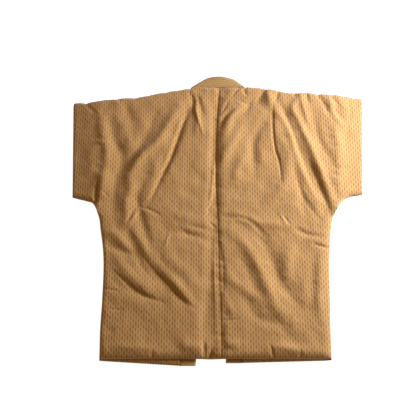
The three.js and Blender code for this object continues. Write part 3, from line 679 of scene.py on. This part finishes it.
class Wire:
    """A number, colour or vector that a socket carries. Arithmetic on it adds Math nodes."""

    def __init__(self, finish, socket):
        self.finish = finish
        self.socket = socket

    def math(self, operation, *others, first=None):
        sockets = dict(enumerate([self if first is None else first, *others]))
        return self.finish.node("ShaderNodeMath", {"operation": operation}, sockets)

    def __add__(self, other):
        return self.math("ADD", other)

    def __sub__(self, other):
        return self.math("SUBTRACT", other)

    def __mul__(self, other):
        return self.math("MULTIPLY", other)

    def __truediv__(self, other):
        return self.math("DIVIDE", other)

    def __rsub__(self, other):
        return self.math("SUBTRACT", self, first=other)

    __radd__ = __add__
    __rmul__ = __mul__


class Finish:
    """One material under construction."""

    def __init__(self, name):
        self.material = bpy.data.materials.new(name)
        self.material.use_nodes = True
        self.tree = self.material.node_tree
        self.shader = self.tree.nodes["Principled BSDF"]

    def node(self, kind, settings=None, sockets=None, result=0):
        made = self.tree.nodes.new(kind)
        for name, value in (settings or {}).items():
            setattr(made, name, value)
        for name, value in (sockets or {}).items():
            self.set(made.inputs[name], value)
        return Wire(self, made.outputs[result])

    def set(self, socket, value):
        if isinstance(value, Wire):
            self.tree.links.new(value.socket, socket)
        else:
            socket.default_value = value

    def surface(self, **sockets):
        for name, value in sockets.items():
            self.set(self.shader.inputs[name.replace("_", " ")], value)

    def step(self, value, low, high):
        """0 below low, 1 above high and smooth between."""
        return self.node("ShaderNodeMapRange", {"interpolation_type": "SMOOTHSTEP"},
                         {"Value": value, "From Min": low, "From Max": high})

    def blend(self, share, first, second):
        sockets = {"Factor": share, 6: first, 7: second}
        return self.node("ShaderNodeMix", {"data_type": "RGBA"}, sockets, result=2)

    def noise(self, place, scale, detail=2.0, roughness=0.5):
        return self.node("ShaderNodeTexNoise", None,
                         {"Vector": place, "Scale": scale, "Detail": detail, "Roughness": roughness})


def linear(red, green, blue):
    """A colour as it looks on a screen, from 0 to 255, in the renderer's linear values."""
    channels = [value / 255.0 for value in (red, green, blue)]
    return (*[(c / 12.92 if c <= 0.04045 else ((c + 0.055) / 1.055) ** 2.4) for c in channels], 1.0)


# The woven figure: short dark dashes in staggered rows, in a lighter raised net. In metres.
DASH_COLUMNS = 0.0133
DASH_ROWS = 0.0148
DASH_HALF_WIDTH = 0.0020
DASH_HALF_LENGTH = 0.0054
DASH_EDGE = (0.5, 1.3)  # a dash fades between these shares of its half width and length
FURROW = 0.34  # how dark the furrows between the dashes are
YARN_PITCH = 0.0011
WANDER_SCALE = 60.0  # the rows aren't quite straight
WANDER_ACROSS = 0.0012
WANDER_ALONG = 0.0016
MOTTLE_SCALE = 22.0  # uneven dye
SLUB_SCALE = 420.0  # thick places in the yarn
SLUB_SHOWN = (0.35, 0.75)
SLUB_COLOUR = linear(150, 108, 66)
STITCH_LINE = 0.0045  # a row of stitches in the band, this far from its seam
STITCH_EDGE = (0.0003, 0.0012)


def dobby_cotton(name, net, dash, line_at=None):
    """Matt padded cotton with sunken dark dashes between raised lighter yarns.

    line_at is how far from the seam a row of stitches runs along the cloth.
    """
    cloth = Finish(name)
    place = cloth.node("ShaderNodeAttribute", {"attribute_name": "cloth_place"}, None, result=1)
    straight = cloth.node("ShaderNodeSeparateXYZ", None, {0: place}, result=0)
    lengthwise = cloth.node("ShaderNodeSeparateXYZ", None, {0: place}, result=1)
    wander = cloth.noise(place, WANDER_SCALE, 1.0) - 0.5
    across = straight + wander * WANDER_ACROSS
    along = lengthwise + wander * WANDER_ALONG

    def dash_distance(shift):
        """How far each place is from the middle of a dash, in shares of its half sizes."""
        from_column = ((across / DASH_COLUMNS + shift).math("FRACT") - 0.5) * DASH_COLUMNS
        from_row = ((along / DASH_ROWS + shift).math("FRACT") - 0.5) * DASH_ROWS
        wide = (from_column / DASH_HALF_WIDTH).math("POWER", 2.0)
        return (wide + (from_row / DASH_HALF_LENGTH).math("POWER", 2.0)).math("SQRT")

    nearest = dash_distance(0.0).math("MINIMUM", dash_distance(0.5))
    dashes = 1 - cloth.step(nearest, *DASH_EDGE)
    furrows = (across * (4 * math.pi / DASH_COLUMNS) + math.pi / 2).math("SINE") * 0.5 + 0.5
    sunken = dashes.math("MAXIMUM", furrows * FURROW)
    if line_at is not None:
        beside_line = (across - line_at).math("ABSOLUTE")
        sunken = sunken.math("MAXIMUM", 1 - cloth.step(beside_line, *STITCH_EDGE))
    warp = (across * (2 * math.pi / YARN_PITCH)).math("SINE")
    weft = (along * (2 * math.pi / YARN_PITCH)).math("SINE")
    mottle = cloth.noise(place, MOTTLE_SCALE, 3.0, 0.6)
    slub = cloth.noise(place, SLUB_SCALE)
    shade = sunken * (0.75 + mottle * 0.5)
    colour = cloth.blend(shade, net, dash)
    duller = cloth.blend(cloth.step(slub, *SLUB_SHOWN) * 0.25, colour, SLUB_COLOUR)
    cloth.surface(Base_Color=duller, Roughness=0.86 + dashes * 0.08, Sheen_Weight=0.25,
                  Sheen_Roughness=0.5, Specular_IOR_Level=0.25)
    height = (1 - sunken) * 0.8 + warp * weft * 0.08 + slub * 0.15
    bump = cloth.node("ShaderNodeBump", None, {"Strength": 0.7, "Distance": 0.0006, "Height": height})
    cloth.surface(Normal=bump)
    return cloth.material


def table_finish():
    """A matt white surface that glows enough to hide nearly all shadow on it."""
    table = Finish("white_table")
    mottle = table.noise(table.node("ShaderNodeTexCoord", None, None, result=3), 3.0)
    tone = table.blend(mottle * 0.05, linear(168, 168, 172), linear(160, 160, 164))
    table.surface(Base_Color=tone, Roughness=0.9, Emission_Color=(0.97, 0.98, 1.0, 1),
                  Emission_Strength=0.96)
    return table.material


body_cloth = dobby_cotton("ochre_dobby_cotton", linear(155, 110, 53), linear(117, 76, 32))
# The band is the body's ochre cotton with its net colour darkened as painted shade on the collar; its
# lighter dashes give its weave less contrast.
band_cloth_with_painted_shade = dobby_cotton("ochre_band_cotton_painted_shade", linear(146, 107, 53), linear(132, 92, 44), STITCH_LINE)


def lay(piece, nodes, material):
    """Finish a piece of cloth, hide the nodes it stands for and attach it to what it lies on."""
    piece.data.materials.append(material)
    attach(piece, "root")
    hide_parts(*nodes)
    return piece


BAND_NODES = ["collar_front_left", "collar_neck", "collar_front_right"]

band = lay(collar_band("collar_band"), BAND_NODES, band_cloth_with_painted_shade)
left_body = lay(body_panel("body_left_cloth", LEFT), ["body_left"], body_cloth)
right_body = lay(body_panel("body_right_cloth", RIGHT), ["body_right"], body_cloth)
lay(sleeve_panel("sleeve_left_cloth", LEFT), ["sleeve_left"], body_cloth)
lay(sleeve_panel("sleeve_right_cloth", RIGHT), ["sleeve_right"], body_cloth)

# The table lies a hair below the cloth, so that the two faces never coincide.
TABLE_TOP = -0.0002
TABLE_HALF = 3.0


def stage():
    """A plain white table under the garment."""
    mesh = bpy.data.meshes.new("table")
    corners = [(x * TABLE_HALF, y * TABLE_HALF, TABLE_TOP) for x, y in ((-1, -1), (1, -1), (1, 1), (-1, 1))]
    mesh.from_pydata(corners, [], [(0, 1, 2, 3)])
    table = bpy.data.objects.new("table", mesh)
    bpy.context.scene.collection.objects.link(table)
    mesh.materials.append(table_finish())


# Soft lights: where they stand and their sizes in metres, their power in watts and their colours
Lamp = namedtuple("Lamp", "name place size power colour")
LAMPS = [
    Lamp("key_light", (1.15, 0.45, 0.55), (0.55, 0.55), 57.5, (0.95, 1.13, 1.46)),
    Lamp("top_light", (-0.20, 1.00, 1.20), (1.20, 0.60), 2.5, (1.0, 0.84, 0.56))]
STUDIO_COLOUR = (1.0, 0.79, 0.42, 1)
STUDIO_STRENGTH = 0.36


def soft_light(lamp):
    """A flat light that faces the middle of the garment."""
    light = bpy.data.lights.new(lamp.name, "AREA")
    light.shape = "RECTANGLE"
    light.size, light.size_y = lamp.size
    light.energy = lamp.power
    light.color = lamp.colour
    holder = bpy.data.objects.new(lamp.name, light)
    bpy.context.scene.collection.objects.link(holder)
    x, y, z = lamp.place
    holder.location = lamp.place
    holder.rotation_euler = (math.atan2(math.hypot(x, y), z), 0, math.atan2(-y, -x) - math.pi / 2)


def lights():
    for lamp in LAMPS:
        soft_light(lamp)
    world = bpy.data.worlds.new("plain_studio")
    world.use_nodes = True
    world.node_tree.nodes["Background"].inputs["Color"].default_value = STUDIO_COLOUR
    world.node_tree.nodes["Background"].inputs["Strength"].default_value = STUDIO_STRENGTH
    bpy.context.scene.world = world
    bpy.context.scene.view_settings.view_transform = "Standard"


# The camera stands on the hem's side, 20 degrees off straight down.
CAMERA_TILT = math.radians(20.0)
CAMERA_DISTANCE = 1.816
CAMERA_TARGET = (-0.028, 0.0034, 0.022)
FOCAL_PIXELS = 670.0
FRAME_PIXELS = 416.0
SENSOR = 36.0  # in millimetres


def camera():
    lens = bpy.data.cameras.new("camera")
    lens.sensor_width = SENSOR
    lens.lens = FOCAL_PIXELS / FRAME_PIXELS * SENSOR
    holder = bpy.data.objects.new("camera", lens)
    bpy.context.scene.collection.objects.link(holder)
    x, y, z = CAMERA_TARGET
    holder.location = (x, y - CAMERA_DISTANCE * math.sin(CAMERA_TILT),
                       z + CAMERA_DISTANCE * math.cos(CAMERA_TILT))
    holder.rotation_euler = (CAMERA_TILT, 0, 0)
    bpy.context.scene.camera = holder


stage()
lights()
camera()
